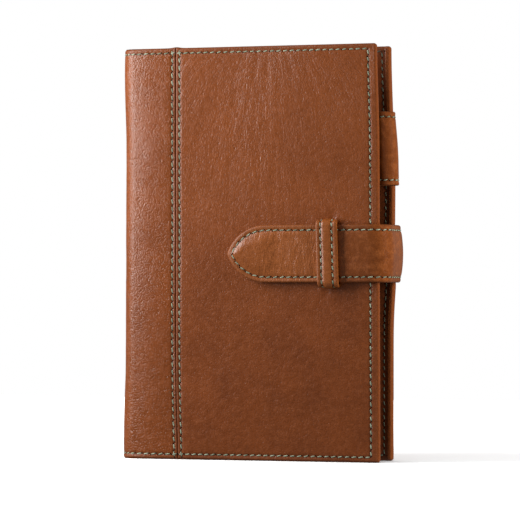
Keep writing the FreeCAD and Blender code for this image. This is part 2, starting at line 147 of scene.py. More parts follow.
class Row:
    """A line of stitches through corner points (u, v) of the flat piece."""

    def __init__(self, points, pitch=PITCH):
        self.points = [np.array(p, float) for p in points]
        self.pitch = pitch

    def near(self, u, v):
        """Distance of each place from the row."""
        best = np.full(np.shape(u), 1.0)
        for a, b in zip(self.points, self.points[1:]):
            run = b - a
            t = np.clip(((u - a[0]) * run[0] + (v - a[1]) * run[1]) / (run @ run), 0, 1)
            best = np.minimum(best, np.hypot(u - a[0] - t * run[0], v - a[1] - t * run[1]))
        return best

    def places(self):
        """Middle and direction of each stitch, evenly spaced along each straight run."""
        found = []
        for a, b in zip(self.points, self.points[1:]):
            run = b - a
            length = np.linalg.norm(run)
            count = max(1, round(length / self.pitch))
            for k in range(count):
                found.append((a + run * (k + 0.5) / count, run / length, length / count))
        return found


def groove(rows, u, v, depth):
    """How far the stitches pull the leather down."""
    pulled = np.zeros(np.shape(u))
    for row in rows:
        pulled = np.maximum(pulled, hump(row.near(u, v), ROW_WIDTH))
    return -depth * pulled


# ---- paths ----


# How the outline strays outwards, as rows of (how far, height of the middle, reach).
SPINE_SPREAD = ((1.5 * MM, 7 * MM, 34 * MM), (0.8 * MM, HEIGHT - 12 * MM, 26 * MM))
SEAM_SPREAD, SEAM_REACH = ((1.0 * MM, 0, 26 * MM),), 16 * MM
FORE_OUT = {FRONT: 0, BACK: 1.0 * MM}  # the back cover reaches further all the way up
FORE_STRAYS = {FRONT: ((-1.2 * MM, HEIGHT, 30 * MM), (0.3 * MM, 0, 60 * MM)),
               BACK: ((1.3 * MM, STRAP_Z - 8 * MM, 17 * MM), (0.9 * MM, STRAP_Z + 32 * MM, 26 * MM),
                      (-1.0 * MM, HEIGHT, 30 * MM))}
FORE_SHARE = 0.55  # from this share of a cover's width on, its fore-edge's strays show
SEAM_STANDS, SEAM_THICK, SEAM_TOP = 0.45 * MM, 2.4 * MM, 4 * MM  # the seam's doubled leather at the top edge


def strays(table, v):
    return sum(far * hump(v - middle, reach) for far, middle, reach in table)


def pull(side, u, v):
    """How far the outline strays: the fore-edge drawn in at its top and pushed out by strap and loop, and the
    spine spread at its ends.
    """
    share = smooth((u - FORE_SHARE * U_EDGE) / ((1 - FORE_SHARE) * U_EDGE))
    spread = strays(SEAM_SPREAD, v) * hump(u - U_SEAM, SEAM_REACH)
    spread = spread - (1 - smooth(u / U_SEAM)) * strays(SPINE_SPREAD, v)
    return share * (FORE_OUT[side] + strays(FORE_STRAYS[side], v)) + spread


def cover_path(side):
    """From the middle of the spine's back, round one fold and out along that cover."""
    centre_x, centre_y = SPINE_X + FOLD_RADIUS, MIDDLE_Y + side * FLAT_BACK

    def place(u, v, h):
        turn = np.clip((u - FLAT_BACK) / FOLD_RADIUS, 0, math.pi / 2)
        beyond = np.maximum(u - U_FOLD_END, 0)
        before = np.minimum(u - FLAT_BACK, 0)
        x = centre_x - (FOLD_RADIUS + h) * np.cos(turn) + beyond + pull(side, u, v)
        y = centre_y + side * ((FOLD_RADIUS + h) * np.sin(turn) + before)
        thick_seam = SEAM_STANDS * hump(u - U_SEAM, SEAM_THICK) * smooth((v - HEIGHT) / SEAM_TOP + 1)
        return points(x, y, v + thick_seam)

    return place


BOW_FLAT = (BACK_Y + STRAP_IN - BACK_RADIUS) - (FRONT_Y - STRAP_IN + FRONT_RADIUS)
BACK_BEND = (BACK_RADIUS + STRAP_THICK / 2) * math.pi / 2
FRONT_BEND = (FRONT_RADIUS + STRAP_THICK / 2) * math.pi / 2
U_WEB = WEB_X - BASE_X
U_BOW = BACK_X - BASE_X
U_BOW_MIDDLE = U_BOW + BACK_BEND + BOW_FLAT / 2
U_FRONT = U_BOW + BACK_BEND + BOW_FLAT + FRONT_BEND
U_TONGUE = U_FRONT + FRONT_X - TONGUE_X
U_TIP = U_FRONT + FRONT_X - TIP_X
BOW_CROWN, BOW_DRAW = 1.2 * MM, 1.4 * MM  # the bow bulges in its middle and is drawn in at its edges


def strap_path(u, v, h):
    """From the strap's sewn end on the back cover, round the fore-edge to the tongue's tip."""
    turn_back = np.clip((u - U_BOW) / BACK_BEND, 0, 1) * math.pi / 2
    turn_front = np.clip((u - U_FRONT + FRONT_BEND) / FRONT_BEND, 0, 1) * math.pi / 2
    crown = (BOW_CROWN * (1 - (2 * v / STRAP_WIDTH) ** 2) - BOW_DRAW) * np.sin(turn_back) * np.cos(turn_front)
    back, front = BACK_RADIUS + h + crown, FRONT_RADIUS + h + crown
    on_back = u < U_BOW_MIDDLE
    x = np.where(on_back, BASE_X + np.minimum(u, U_BOW) + back * np.sin(turn_back),
                 FRONT_X + front * np.cos(turn_front) - np.maximum(u - U_FRONT, 0))
    over = np.clip(u - U_BOW - BACK_BEND, 0, BOW_FLAT)
    y = np.where(on_back, BACK_Y + STRAP_IN - BACK_RADIUS + back * np.cos(turn_back) - over,
                 FRONT_Y - STRAP_IN + FRONT_RADIUS + BOW_FLAT - over - front * np.sin(turn_front))
    return points(x, y, STRAP_Z + v)


# ---- meshes ----


def points(x, y, z):
    return np.stack(np.broadcast_arrays(x, y, z), axis=-1)


def linked(name, data):
    """A new object in the scene."""
    made = bpy.data.objects.new(name, data)
    bpy.context.scene.collection.objects.link(made)
    return made


def dress(piece, material):
    """Gives a piece its material, unless it has one already."""
    if not piece.data.materials:
        piece.data.materials.append(material)
    return piece


def lines(start, end, step, rims=(0, 0), rows=()):
    """Grid lines from start to end: even steps, closer round a rim's quarter circle and beside rows."""
    found = [start, end]
    arc = 1 - np.cos(np.linspace(0, math.pi / 2, RIM_LINES))
    first, last = start + rims[0], end - rims[1]
    found += list(start + rims[0] * arc) if rims[0] else []
    found += list(end - rims[1] * arc) if rims[1] else []
    found += list(np.linspace(first, last, max(2, round((last - first) / step) + 1)))
    for row in rows:
        found += [row + offset * FINE_STEP for offset in ROW_LINES]
    found = np.array(sorted(value for value in found if start <= value <= end))
    keep = [0]
    for k in range(1, len(found)):
        near_rim = min(found[k] - start, end - found[k]) < max(rims) + STEP
        if found[k] - found[keep[-1]] > (RIM_GAP if near_rim else ROW_GAP):
            keep.append(k)
    found = found[keep]
    found[-1] = end
    return found


def round_corner(away_u, away_v, radius):
    """Moves a grid's square corner onto a quarter circle. The distances are from the two edges."""
    a, b = 1 - away_u / radius, 1 - away_v / radius
    inside = (a > 0) & (b > 0)
    size = np.hypot(a, b)
    scale = np.where(inside, np.maximum(a, b) / np.where(size > 0, size, 1), 1)
    return (np.where(inside, radius * (1 - a * scale), away_u),
            np.where(inside, radius * (1 - b * scale), away_v))


def even_creases(u, v):
    return u, v, 0.25 + 0 * u


def slab(name, path, us, vs, top, thick, rims, corner=0.0, relief=None, shape=None, rows=(), outline=None,
         layer=0, creases=even_creases):
    """A closed piece of leather over a grid of lines us and vs.

    top is the height of its outer face, and thick a number or a function of (u, v). rims are the radii of its
    low u, high u, low v and high v edges. corner rounds its outline at high u. relief is added to the outer
    face and fades out at the rims, shape is added right to the edge. outline narrows v towards one end. layer
    keeps its grain apart from other pieces'. creases says where creases run, and how strong they are.
    """
    u, v = np.meshgrid(us, vs, indexing="ij")
    away = [u - us[0], us[-1] - u, v - vs[0], vs[-1] - v]
    if outline is not None:
        width, edge = outline(u, v)
        v = v * width
        away[2] = away[3] = edge
    share, drop = np.zeros_like(u), np.zeros_like(u)
    for distance, radius in zip(away, rims):
        if radius:
            t = np.clip(1 - distance / radius, 0, 1)
            drop = np.maximum(drop, radius * (1 - np.sqrt(1 - t * t)))
            share = np.maximum(share, np.clip(1 - distance / (RIM_FADE * radius), 0, 1))
    if corner:
        for low_v in (True, False):
            side = v - vs[0] if low_v else vs[-1] - v
            new_u, new_v = round_corner(us[-1] - u, side, corner)
            u = us[-1] - new_u
            v = vs[0] + new_v if low_v else vs[-1] - new_v
    raised = relief(u, v) * (1 - smooth(share)) if relief else 0
    raised = raised + (shape(u, v) if shape else 0)
    outer = path(u, v, top - drop + raised)
    if callable(thick):
        thick = thick(u, v)
    inner = path(u, v, top - thick + np.minimum(drop * thick / (2 * max(rims)), thick / 2))
    # Nearness to the rows of stitches, which the materials darken as painted shade in the sewn grooves.
    groove_shade = np.zeros_like(u)
    for row in rows:
        groove_shade = np.maximum(groove_shade, hump(row.near(u, v), ROW_WIDTH))
    across, along, worn = creases(u, v)
    return grid_solid(name, outer, inner, {
        "flat": points(u / MM, v / MM, layer), "crease": points(across / MM, along / MM, layer),
        "rim": share, "sewn": groove_shade, "worn": worn})


def grid_solid(name, outer, inner, attributes):
    """A closed mesh from two matching grids of points."""
    nu, nv = outer.shape[:2]
    index = np.arange(nu * nv).reshape(nu, nv)

    def quads(i, flip):
        q = np.stack([i[:-1, :-1], i[1:, :-1], i[1:, 1:], i[:-1, 1:]], axis=-1).reshape(-1, 4)
        return q[:, ::-1] if flip else q

    loop = np.concatenate([index[:, 0], index[-1, 1:], index[-2::-1, -1], index[0, -2:0:-1]])
    after = np.roll(loop, -1)
    wall = np.stack([loop, after, after + nu * nv, loop + nu * nv], axis=-1)
    faces = np.concatenate([quads(index, False), quads(index + nu * nv, True), wall])
    places = np.concatenate([outer.reshape(-1, 3), inner.reshape(-1, 3)])
    mesh = bpy.data.meshes.new(name)
    mesh.from_pydata(places.tolist(), [], faces.tolist())
    for key, values in attributes.items():
        both = np.concatenate([values.reshape(nu * nv, -1)] * 2)
        kind, field = ("FLOAT_VECTOR", "vector") if both.shape[1] == 3 else ("FLOAT", "value")
        layer = mesh.attributes.new(key, kind, "POINT")
        layer.data.foreach_set(field, both.astype(np.float32).ravel())
    tidy_mesh(mesh, True)
    return linked(name, mesh)


def tidy_mesh(mesh, slab_edges):
    """Turns the faces outwards and shades them smoothly. A slab has doubled points and sharp edges."""
    bm = bmesh.new()
    bm.from_mesh(mesh)
    if slab_edges:
        bmesh.ops.remove_doubles(bm, verts=bm.verts, dist=SAME_POINT)
        bmesh.ops.dissolve_degenerate(bm, edges=bm.edges, dist=SAME_POINT / 2)
    bmesh.ops.recalc_face_normals(bm, faces=bm.faces)
    bm.to_mesh(mesh)
    bm.free()
    mesh.shade_smooth()
    if slab_edges:
        mesh.set_sharp_from_angle(angle=SHARP)


def stitches(name, path, rows, heights, material, lean=1, keep=None, size=1.0):
    """Single stitches along the rows: short twisted threads whose ends dive into the leather, and painted
    shade at the holes.

    heights gives the leather's height at (u, v). lean is the way the stitches slant, 1 or -1. keep says which
    places this piece holds, and size is the thread's.
    """
    random = np.random.default_rng(len(name))
    middles, alongs, spans = [], [], []
    for row in rows:
        for middle, along, span in row.places():
            jitter = random.normal(0, 1, 3)
            if keep is not None and not keep(*middle):
                continue
            tilt = math.radians(lean * STITCH_SLANT + SLANT_JITTER * jitter[0])
            turned = np.array([along[0] * math.cos(tilt) - along[1] * math.sin(tilt),
                               along[0] * math.sin(tilt) + along[1] * math.cos(tilt)])
            middles.append(middle)
            alongs.append(turned)
            spans.append(span * (STITCH_SHARE + SHARE_JITTER * jitter[1]))
    middles, alongs, spans = np.array(middles), np.array(alongs), np.array(spans)
    across = np.stack([-alongs[:, 1], alongs[:, 0]], axis=-1)
    rings, sides = 11, 8
    t = np.linspace(-1, 1, rings)
    angle = np.linspace(0, 2 * math.pi, sides, endpoint=False)
    thread, rise, sink = 0.3 * MM * size, 0.1 * MM, 0.6 * MM
    lift = rise * (1 - np.abs(t) ** 3) - sink * np.abs(t) ** 5
    ply = 1 + PLY_DEPTH * np.cos(2 * angle[None, :] - PLY_TWIST * t[:, None])
    radius = thread * (1 - 0.3 * np.abs(t[:, None]) ** 4) * ply
    offset_side, offset_up = radius * np.cos(angle), 0.85 * radius * np.sin(angle)
    n = len(middles)
    base = heights(middles[:, 0], middles[:, 1])
    u, v = [middles[:, axis, None, None] + across[:, axis, None, None] * offset_side[None]
            + alongs[:, axis, None, None] * t[None, :, None] * spans[:, None, None] / 2 for axis in (0, 1)]
    h = base[:, None, None] + lift[None, :, None] + offset_up[None]
    threads = path(u, v, h).reshape(-1, 3)
    block = np.arange(n * rings * sides).reshape(n, rings, sides)
    right = np.roll(block, -1, axis=2)
    tube = np.stack([block[:, :-1], right[:, :-1], right[:, 1:], block[:, 1:]], axis=-1).reshape(-1, 4)
    caps = [list(map(int, ring)) for k in range(n) for ring in (block[k, 0][::-1], block[k, -1])]
    faces = tube.tolist() + caps
    hole_shade_points, hole_shade_faces = hole_shade_domes(path, middles, alongs, spans, heights, len(threads))
    mesh = bpy.data.meshes.new(name)
    mesh.from_pydata(threads.tolist() + hole_shade_points, [], faces + hole_shade_faces)
    mesh.materials.append(material)
    # The second material is the holes' painted shade.
    mesh.materials.append(HOLE_SHADE)
    mesh.polygons.foreach_set("material_index", [0] * len(faces) + [1] * len(hole_shade_faces))
    tidy_mesh(mesh, False)
    return dress(linked(name, mesh), material)


def hole_shade_domes(path, middles, alongs, spans, heights, first):
    """Dark flat domes of painted shade where the needle went through, just past each end of a stitch."""
    sides, wide, tall, past, rise, sink = 8, 0.42 * MM, 0.34 * MM, 0.05 * MM, 0.02 * MM, 0.25 * MM
    angle = np.linspace(0, 2 * math.pi, sides, endpoint=False)
    found, faces = [], []
    for middle, along, span in zip(middles, alongs, spans):
        for end in (-1, 1):
            centre = middle + along * end * (span / 2 + past)
            u, v = centre[0] + wide * np.cos(angle), centre[1] + tall * np.sin(angle)
            surface = heights(centre[:1], centre[1:])
            edge = path(u, v, heights(u, v) + rise)
            tip = path(centre[:1], centre[1:], surface + 2 * rise)
            under = path(centre[:1], centre[1:], surface - sink)
            start = first + len(found)
            found += edge.tolist() + tip.tolist() + under.tolist()
            for k in range(sides):
                a, b = start + k, start + (k + 1) % sides
                faces += [[a, b, start + sides], [b, a, start + sides + 1]]
    return found, faces


# ---- materials ----


class Nodes:
    """Short calls for a material's node tree."""

    def __init__(self, name):
        self.material = bpy.data.materials.new(name)
        self.material.use_nodes = True
        self.tree = self.material.node_tree
        self.shader = self.tree.nodes["Principled BSDF"]

    def add(self, kind, **settings):
        """A new node. Each setting is one of its own, or else the number on a socket."""
        node = self.tree.nodes.new(f"ShaderNode{kind}")
        for key, value in settings.items():
            if hasattr(node, key):
                setattr(node, key, value)
            else:
                node.inputs[key].default_value = value
        return node

    def link(self, output, target):
        self.tree.links.new(output, target)

    def attribute(self, name, output="Fac"):
        return self.add("Attribute", attribute_name=name).outputs[output]

    def place(self):
        return self.add("TexCoord").outputs["Object"]

    def noise(self, coordinates, scale, detail=2.0, roughness=0.5, distortion=0.0):
        node = self.add("TexNoise", Scale=scale, Detail=detail, Roughness=roughness, Distortion=distortion)
        self.link(coordinates, node.inputs["Vector"])
        return node.outputs["Fac"]

    def voronoi(self, coordinates, scale, feature="F1"):
        node = self.add("TexVoronoi", feature=feature, Scale=scale)
        self.link(coordinates, node.inputs["Vector"])
        return node.outputs["Distance"]

    def mapped(self, coordinates, scale):
        node = self.add("Mapping", Scale=scale)
        self.link(coordinates, node.inputs["Vector"])
        return node.outputs["Vector"]

    def remap(self, value, low_in, high_in, low_out, high_out):
        node = self.add("MapRange", clamp=True)
        limits = {"From Min": low_in, "From Max": high_in, "To Min": low_out, "To Max": high_out}
        for key, number in limits.items():
            node.inputs[key].default_value = number
        self.link(value, node.inputs["Value"])
        return node.outputs["Result"]

    def math(self, operation, a, b):
        node = self.add("Math", operation=operation)
        for value, socket in ((a, node.inputs[0]), (b, node.inputs[1])):
            if isinstance(value, (int, float)):
                socket.default_value = value
            else:
                self.link(value, socket)
        return node.outputs["Value"]

    def mix(self, factor, a, b):
        node = self.add("Mix", data_type="RGBA")
        for value, socket in ((factor, node.inputs[0]), (a, node.inputs[6]), (b, node.inputs[7])):
            if isinstance(value, (int, float)):
                socket.default_value = value
            elif isinstance(value, tuple):
                socket.default_value = (*value, 1.0)
            else:
                self.link(value, socket)
        return node.outputs[2]

    def surface(self, colour, roughness, specular, sheen=0.0):
        """Links the colour and sets the shader's even numbers on its own sockets."""
        self.link(colour, self.shader.inputs["Base Color"])
        self.shader.inputs["Roughness"].default_value = roughness
        self.shader.inputs["Specular IOR Level"].default_value = specular
        self.shader.inputs["Sheen Weight"].default_value = sheen

    def bump(self, height, strength, distance):
        node = self.add("Bump", Strength=strength, Distance=distance)
        self.link(height, node.inputs["Height"])
        self.link(node.outputs["Normal"], self.shader.inputs["Normal"])


def leather(name, deep, middle, light, grain, pebble, wrinkle, gloss=0.32):
    """Pull-up leather: mottled colour, pebble grain, creases, darker edges; painted shade in gaps, creases
    and sewn lines.

    grain is the size of a pebble, and pebble and wrinkle are heights, all in millimetres.
    """
    n = Nodes(name)
    flat = n.attribute("flat", "Vector")
    clouds = n.noise(flat, 0.045, detail=3.0, roughness=0.6)
    spots = n.noise(flat, 0.35, detail=3.0, roughness=0.65)
    fine = n.noise(flat, 2.4, detail=2.0, roughness=0.6)
    wandering = n.add("TexNoise", Scale=0.6 / grain)
    n.link(flat, wandering.inputs["Vector"])
    wander = n.add("VectorMath", operation="MULTIPLY_ADD")
    n.link(wandering.outputs["Color"], wander.inputs[0])
    wander.inputs[1].default_value = (grain, grain, 0)
    n.link(flat, wander.inputs[2])
    cells = n.voronoi(wander.outputs["Vector"], 1.0 / grain)
    gaps = n.voronoi(wander.outputs["Vector"], 1.0 / grain, feature="DISTANCE_TO_EDGE")
    crease = n.attribute("crease", "Vector")
    folds = n.noise(n.mapped(crease, (0.62, 0.12, 1.0)), 1.0, detail=3.0, roughness=0.6, distortion=0.35)
    folds = n.math("ABSOLUTE", n.math("SUBTRACT", folds, 0.5), 0.0)
    rim, sewn, worn = [n.attribute(key) for key in ("rim", "sewn", "worn")]

    def darker(share):
        return tuple(share * c for c in deep)

    # Painted shade in the creases: the folds' lines are darkened.
    fold_shade = n.math("MULTIPLY", worn, n.remap(folds, 0.0, 0.07, 0.3, 0.0))
    colour = deep
    for share, tone in ((n.remap(clouds, 0.35, 0.65, 0.0, 1.0), middle),
                        (n.remap(spots, 0.45, 0.75, 0.0, 0.45), light),
                        (n.remap(worn, 0.2, 1.0, 0.0, 0.5), light),
                        (n.remap(fine, 0.3, 0.7, 0.25, 0.0), deep),
                        # painted shade in the gaps between the pebbles
                        (n.remap(gaps, 0.0, 0.16, 0.4, 0.0), darker(0.6)),
                        (fold_shade, deep),
                        # painted shade in the sewn grooves beside the rows
                        (n.remap(sewn, 0.3, 1.0, 0.0, 0.4), darker(0.5)),
                        (n.remap(rim, 0.3, 1.0, 0.0, 0.35), darker(0.7))):
        colour = n.mix(share, colour, tone)
    n.link(colour, n.shader.inputs["Base Color"])

    rough = n.math("ADD", n.remap(spots, 0.3, 0.7, gloss - 0.05, gloss + 0.07),
                   n.remap(fine, 0.3, 0.7, -0.04, 0.05))
    rough = n.math("ADD", rough, n.remap(rim, 0.2, 1.0, 0.0, 0.2))
    n.link(rough, n.shader.inputs["Roughness"])
    n.shader.inputs["Specular IOR Level"].default_value = 0.32

    height = n.math("MULTIPLY", n.math("POWER", cells, 2.0), -2.2 * pebble)
    for part in (n.remap(gaps, 0.0, 0.1, -0.25 * pebble, 0.0),
                 n.math("MULTIPLY", worn, n.remap(folds, 0.0, 0.26, -wrinkle, 0.0)),
                 n.remap(fine, 0.2, 0.8, -0.005, 0.005), n.remap(spots, 0.2, 0.8, -0.05, 0.05)):
        height = n.math("ADD", height, part)
    n.bump(height, 1.0, MM)
    return n.material


def suede(name, deep, light):
    """Matt flesh side of the lining: a short nap with a soft mottle."""
    n = Nodes(name)
    flat = n.attribute("flat", "Vector")
    clouds = n.noise(flat, 0.09, detail=4.0, roughness=0.6)
    nap = n.noise(flat, 5.0, detail=2.0, roughness=0.7)
    colour = n.mix(n.remap(clouds, 0.3, 0.7, 0.0, 1.0), deep, light)
    colour = n.mix(n.remap(nap, 0.35, 0.65, 0.35, 0.0), colour, deep)
    # Painted shade along the sewn rows.
    colour = n.mix(n.remap(n.attribute("sewn"), 0.2, 1.0, 0.0, 0.4), colour, deep)
    n.surface(colour, 0.85, 0.15, sheen=0.03)
    n.bump(nap, 0.5, 0.08 * MM)
    return n.material


def waxed_thread(name, deep, light):
    """Twisted linen thread: the strands show as fine slanting lines."""
    n = Nodes(name)
    place = n.place()
    strands = n.noise(n.mapped(place, (2600, 2600, 2600)), 1.0, detail=2.0)
    tint = n.noise(place, 160.0, detail=2.0)
    colour = n.mix(n.remap(tint, 0.3, 0.7, 0.0, 1.0), deep, light)
    colour = n.mix(n.remap(strands, 0.35, 0.6, 0.35, 0.0), colour, deep)
    n.surface(colour, 0.55, 0.5, sheen=0.15)
    n.bump(strands, 0.4, 0.05 * MM)
    return n.material


def needle_hole_shade(name, colour):
    """Painted shade inside a needle hole."""
    n = Nodes(name)
    place = n.place()
    shade = n.mix(n.noise(place, 900.0), colour, tuple(0.5 * c for c in colour))
    n.surface(shade, 0.9, 0.1)
    return n.material


def grey_board(name):
    """Pressed board, closed inside the leather."""
    n = Nodes(name)
    place = n.place()
    fibres = n.noise(n.mapped(place, (900, 900, 2400)), 1.0, detail=3.0)
    n.surface(n.mix(n.remap(fibres, 0.3, 0.7, 0.0, 1.0), (0.30, 0.26, 0.2), (0.46, 0.41, 0.33)), 0.9, 0.5)
    n.bump(fibres, 0.3, 0.1 * MM)
    return n.material


DEEP, TAN, PALE = (0.162, 0.0368, 0.0055), (0.22, 0.052, 0.0082), (0.34, 0.092, 0.021)
PANEL = leather("panel_leather", DEEP, TAN, PALE, grain=0.9, pebble=0.036, wrinkle=0.072)
SPINE = leather("spine_leather", DEEP, TAN, PALE, grain=0.82, pebble=0.052, wrinkle=0.065, gloss=0.26)
STRAP = leather("strap_leather", (0.165, 0.039, 0.005), (0.23, 0.058, 0.0075), (0.51, 0.155, 0.039),
                grain=0.8, pebble=0.016, wrinkle=0.1)
SUEDE = suede("lining_leather", (0.1, 0.029, 0.01), (0.16, 0.048, 0.017))
# Painted shade: a darker copy of the cover leather for the sleeves, which lie in the dim gap between the
# covers.
SHADED_SLEEVE_LEATHER = leather("shaded_sleeve_leather", (0.14, 0.032, 0.008), (0.19, 0.045, 0.012), (0.24, 0.06, 0.016),
                         grain=0.9, pebble=0.02, wrinkle=0.04)
THREAD = waxed_thread("thread", (0.15, 0.18, 0.11), (0.42, 0.48, 0.34))
# Painted shade: a darker copy of the thread for the stitches inside the covers, which lie in shadow.
SHADED_INNER_THREAD = waxed_thread("shaded_inner_thread", (0.07, 0.075, 0.045), (0.2, 0.22, 0.15))
# Painted shade: the dark colour stands for the shadow inside the needle holes.
HOLE_SHADE = needle_hole_shade("needle_hole_shade", (0.026, 0.011, 0.005))
BOARD = grey_board("board")


# ---- covers ----

TOP_ROW, BOTTOM_ROW = HEIGHT - STITCH_INSET, STITCH_INSET
FORE_ROW = U_EDGE - FORE_INSET
SEAM_HALF_GAP = 0.04 * MM
EDGE_RIM = HEM / 2
SEAM_RIM = 0.6 * MM
TURN_IN = LAYER_INSET + 0.45 * MM  # the outer leather shows this far in from the edges
FORE_TURN_IN = FORE_INSET - 1.1 * MM  # and its turned edge reaches this far in along the fore-edge
TURNED = 0.85 * MM  # how far the turned edge stands over the lining
KEEPER_LOW, KEEPER_HIGH = low("keeper_skin"), high("keeper_skin")
KEEPER_X = (KEEPER_LOW[0] + KEEPER_HIGH[0]) / 2
KEEPER_U = U_FRONT + FRONT_X - KEEPER_X  # its middle along the strap


def edge_row():
    return Row([(0, BOTTOM_ROW), (FORE_ROW, BOTTOM_ROW), (FORE_ROW, TOP_ROW), (0, TOP_ROW)])


def seam_rows():
    rows = []
    for sign in (-1, 1):
        u = U_SEAM + sign * SEAM_ROWS / 2
        rows.append(Row([(u, 0.8 * MM), (u, HEIGHT - 0.8 * MM)], SEAM_PITCH))
    return rows


def pucker(u, v):
    """Folds that gather where the keeper's legs go into the front."""
    middle = U_FOLD_END + KEEPER_X - SPINE_X - FOLD_RADIUS
    depth = 0
    for end, sign in ((KEEPER_LOW[2], -1), (KEEPER_HIGH[2], 1)):
        du, dv = u - middle, sign * (v - end)
        around = np.arctan2(du, np.maximum(dv + 4 * MM, 0.5 * MM))
        far = np.hypot(du, dv + 2 * MM)
        fan = np.cos(around * 7 + 1.3 * sign) * hump(far - 3 * MM, 5 * MM)
        depth = depth + 0.16 * MM * fan * (dv > -5 * MM) - 0.35 * MM * hump(far - 2 * MM, 2.4 * MM)
    return depth


def fan_creases(u, v):
    """Creases of the front: they spread down from the middle of its upper edge, and fade downwards."""
    centre_u, centre_v = 0.6 * U_EDGE, 1.08 * HEIGHT
    around = np.arctan2(u - centre_u, centre_v - v)
    far = np.hypot(u - centre_u, centre_v - v)
    patches = 0.5 + 0.5 * noise(u, v, 24 * MM, 13)
    worn = smooth(1.15 - far / (0.85 * HEIGHT)) * (0.45 + 0.75 * patches)
    turned = smooth((u - U_EDGE + 2 * MM) / (1 * MM))
    return around * (35 * MM + 0.45 * far), far, 0.18 + worn * (1 - turned) + 0.8 * turned


def slant_creases(u, v):
    """Creases of the spine leather, mostly slanting."""
    patches = 0.5 + 0.5 * noise(u, v, 17 * MM, 17)
    return (u - 0.7 * v) * 1.1, (v + 0.7 * u) * 3.0, 0.3 + 0.5 * patches


def fan_swells(u, v):
    """Soft swells of the front along the same fan."""
    across, along, worn = fan_creases(u, v)
    return -0.12 * MM * (1 - np.abs(noise(across, along * 0.2, 5 * MM, 11))) ** 3 * worn


def cover_shape(side, grained):
    """Where the whole leather gives way: over the spine's folds, down to the seam, and under the strap."""

    def shape(u, v):
        if grained:
            return -1.05 * MM * hump(u - U_FOLD_END + 4 * MM, 7 * MM) - 0.25 * MM * hump(u - U_SEAM, 5 * MM)
        under_strap = smooth((STRAP_WIDTH / 2 + 2 * MM - np.abs(v - STRAP_Z)) / (4 * MM))
        pressed = 0.6 * MM if side == FRONT else 1.0 * MM
        return -pressed * hump(u - U_EDGE, 5 * MM) * under_strap

    return shape


def cover_relief(side, grained):
    """Heights of one side's outer face: slow swells, the sewn grooves, and creases on the front."""
    rows = [edge_row(), *seam_rows()]

    def relief(u, v):
        seed = 3 if side == FRONT else 23
        h = 0.22 * MM * noise(u, v, 38 * MM, seed) + 0.09 * MM * noise(u, v, 13 * MM, seed + 1)
        h = h + 0.03 * MM * noise(u, v, 4 * MM, seed + 2)
        if grained:
            h = h + 0.025 * MM * noise(u, v, 2.2 * MM, seed + 3)
        elif side == FRONT:
            h = h + fan_swells(u, v) + pucker(u, v)
        return h + groove(rows, u, v, 0.24 * MM)

    return relief


def cover_height(side):
    """Height of the finished outer face, for whatever lies on it."""

    def height(u, v):
        grained, smooth_part = [cover_relief(side, kind)(u, v) + cover_shape(side, kind)(u, v)
                                for kind in (True, False)]
        return np.where(u > U_SEAM, smooth_part, grained)

    return height


def turned_edge(u, v):
    """Thickness of a cover's outer leather: doubled along the fore-edge, where it is turned in."""
    return HEM + (LINING + TURNED) * smooth((u - U_EDGE + FORE_TURN_IN) / (0.5 * MM))


def make_cover(side):
    name, body = NAMES[side], f"{NAMES[side]}_cover"
    path = cover_path(side)
    rows = [edge_row(), *seam_rows()]
    row_us = [U_SEAM - SEAM_ROWS / 2, U_SEAM + SEAM_ROWS / 2, FORE_ROW]
    vs = lines(0, HEIGHT, STEP, (EDGE_RIM, EDGE_RIM), (BOTTOM_ROW, TOP_ROW))

    turn = [U_EDGE - FORE_TURN_IN, U_EDGE - FORE_TURN_IN + 0.5 * MM]
    us = lines(U_SEAM + SEAM_HALF_GAP, U_EDGE, STEP, (SEAM_RIM, EDGE_RIM), row_us + turn)
    panel = slab(f"{name}_panel_leather", path, us, vs, 0, turned_edge, (SEAM_RIM, *[EDGE_RIM] * 3),
                 corner=1.4 * MM, relief=cover_relief(side, False), shape=cover_shape(side, False),
                 rows=rows, creases=fan_creases)
    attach(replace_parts(dress(panel, PANEL), f"{name}_panel"), body)

    us = lines(0, U_SEAM - SEAM_HALF_GAP, STEP, (0, SEAM_RIM), row_us)
    strip = slab(f"{name}_spine_leather", path, us, vs, 0, HEM, (0, SEAM_RIM, EDGE_RIM, EDGE_RIM),
                 relief=cover_relief(side, True), shape=cover_shape(side, True), rows=rows, layer=5,
                 creases=slant_creases)
    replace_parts(dress(strip, SPINE), f"{name}_spine_strip", f"{name}_fold", "spine_panel")
    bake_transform(strip)

    us = lines(0, U_EDGE - FORE_TURN_IN, 2 * STEP, (0, LINING / 2))
    inner_vs = lines(TURN_IN, HEIGHT - TURN_IN, 2 * STEP, (LINING / 2, LINING / 2))
    lining = slab(f"{name}_lining_leather", path, us, inner_vs, -HEM, LINING, (0, *[LINING / 2] * 3))
    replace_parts(dress(lining, SUEDE), f"{name}_lining", f"{name}_fold_lining", "spine_lining")
    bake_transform(lining)

    make_sleeve(side, path, body)

    def on_panel(u, v):
        return u > U_SEAM

    height = cover_height(side)
    rows = [edge_row()]
    piece = stitches(f"{name}_edge_stitches", path, rows, height, THREAD, lean=-side, keep=on_panel)
    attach(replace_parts(piece, f"{name}_edge_stitching"), body)
    piece = stitches(f"{name}_spine_stitches", path, rows, height, THREAD, lean=-side,
                     keep=lambda u, v: not on_panel(u, v))
    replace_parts(piece, "spine_stitching")
    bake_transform(piece)
    piece = stitches(f"{name}_seam_stitches", path, seam_rows(), height, THREAD, lean=-side)
    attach(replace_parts(piece, f"{name}_seam_stitching"), body)


